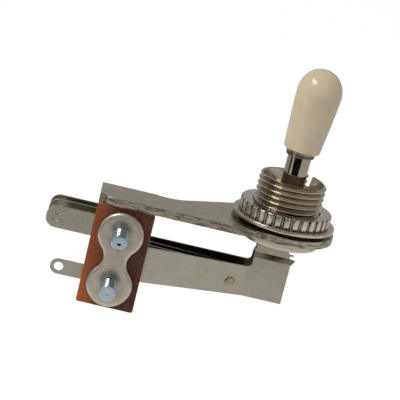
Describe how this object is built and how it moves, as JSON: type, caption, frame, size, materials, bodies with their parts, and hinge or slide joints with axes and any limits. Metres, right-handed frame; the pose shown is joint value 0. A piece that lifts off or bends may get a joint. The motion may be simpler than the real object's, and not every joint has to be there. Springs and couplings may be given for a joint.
{
  "type": "guitar pickup selector switch",
  "caption": "Right-angle three-way toggle pickup selector with threaded bushing, fluted ring nut, cream tip, side leaf stack and solder lugs.",
  "frame": {"origin": "on the bushing's axis, at the top face of the frame plate", "axes": "+Z along the bushing towards the lever's tip; the solder lugs point along -X; the screws' free ends point along -Y"},
  "size_m": [0.0497, 0.0238, 0.0479],
  "materials": {
    "nickel": "warm nickel plating, polished by tumbling, fine scratches",
    "bright_nickel": "bright nickel plating",
    "steel": "plain steel, dull",
    "clamp_steel": "tumbled nickel-plated steel, duller than the frame",
    "zinc": "bluish zinc plating",
    "phenolic": "reddish-brown laminated phenolic sheet, cut edges lighter",
    "fibre": "off-white nylon",
    "cream": "polished cream plastic",
    "silver": "contact silver"
  },
  "bodies": {
    "body": {"frame": "nickel", "bushing": "nickel", "pivot_pin": "steel", "lock_washer": "steel", "flat_washer": "bright_nickel", "ring_nut": "bright_nickel", "front_outer_leaf": "nickel", "front_inner_leaf": "nickel", "rear_inner_leaf": "nickel", "rear_outer_leaf": "nickel", "front_outer_contact": "silver", "front_inner_contact": "silver", "rear_inner_contact": "silver", "rear_outer_contact": "silver", "front_board": "phenolic", "front_spacer": "phenolic", "middle_spacer": "phenolic", "rear_spacer": "phenolic", "rear_board": "phenolic", "screw_sleeves": "fibre", "clamp_plate": "clamp_steel", "screws": "zinc"},
    "lever": {"lever": "bright_nickel", "tip": "cream", "roller": "fibre", "roller_pin": "steel"}
  },
  "joints": [
    {"name": "lever_hinge", "type": "hinge", "parent": "body", "child": "lever", "pos_m": [0, 0, 0.0006], "axis": [1, 0, 0], "range_deg": [-14, 14], "deforming": ["front_outer_leaf", "rear_outer_leaf", "front_outer_contact", "rear_outer_contact"]}
  ]
}
